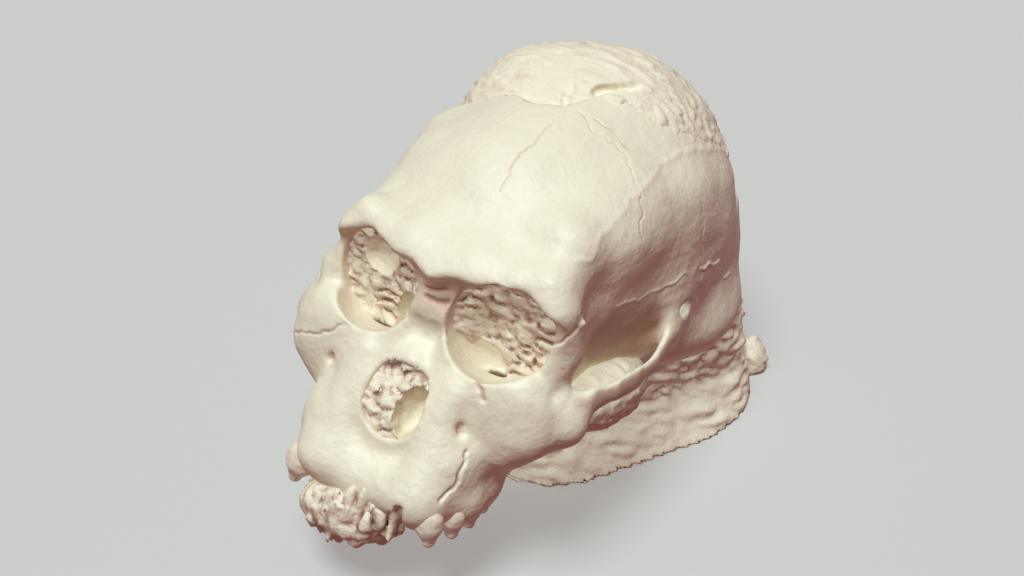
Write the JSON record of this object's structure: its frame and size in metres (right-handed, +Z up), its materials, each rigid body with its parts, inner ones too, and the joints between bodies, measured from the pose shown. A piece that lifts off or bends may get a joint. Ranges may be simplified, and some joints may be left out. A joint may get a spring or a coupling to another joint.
{
  "type": "fossil hominin skull",
  "caption": "Fossil hominin cranium with broken vault, filled sockets and worn teeth, held in rough rock matrix that is cut flat below.",
  "frame": {"origin": "on the flat cut under the matrix, straight below the midpoint between the ear openings as the fossil rests", "axes": "face towards -Y, the skull's left towards +X, +Z up; the skull is pitched back by 15.9 degrees, as it rests on its cut"},
  "size_m": [0.1264, 0.2027, 0.1267],
  "materials": {
    "bone": "smooth fossil bone, cream, matt with a soft sheen",
    "rock": "rough scraped rock, matt",
    "tooth": "worn fossil enamel, semi-matt"
  },
  "bodies": {
    "root": {"cranium": "bone", "matrix": "rock", "socket_matrix_left": "rock", "socket_matrix_right": "rock", "nose_matrix": "rock", "front_premolar_left": "tooth", "front_premolar_right": "tooth", "rear_premolar_left": "tooth", "rear_premolar_right": "tooth", "first_molar_left": "tooth", "first_molar_right": "tooth", "second_molar_left": "tooth", "second_molar_right": "tooth"}
  },
  "joints": []
}
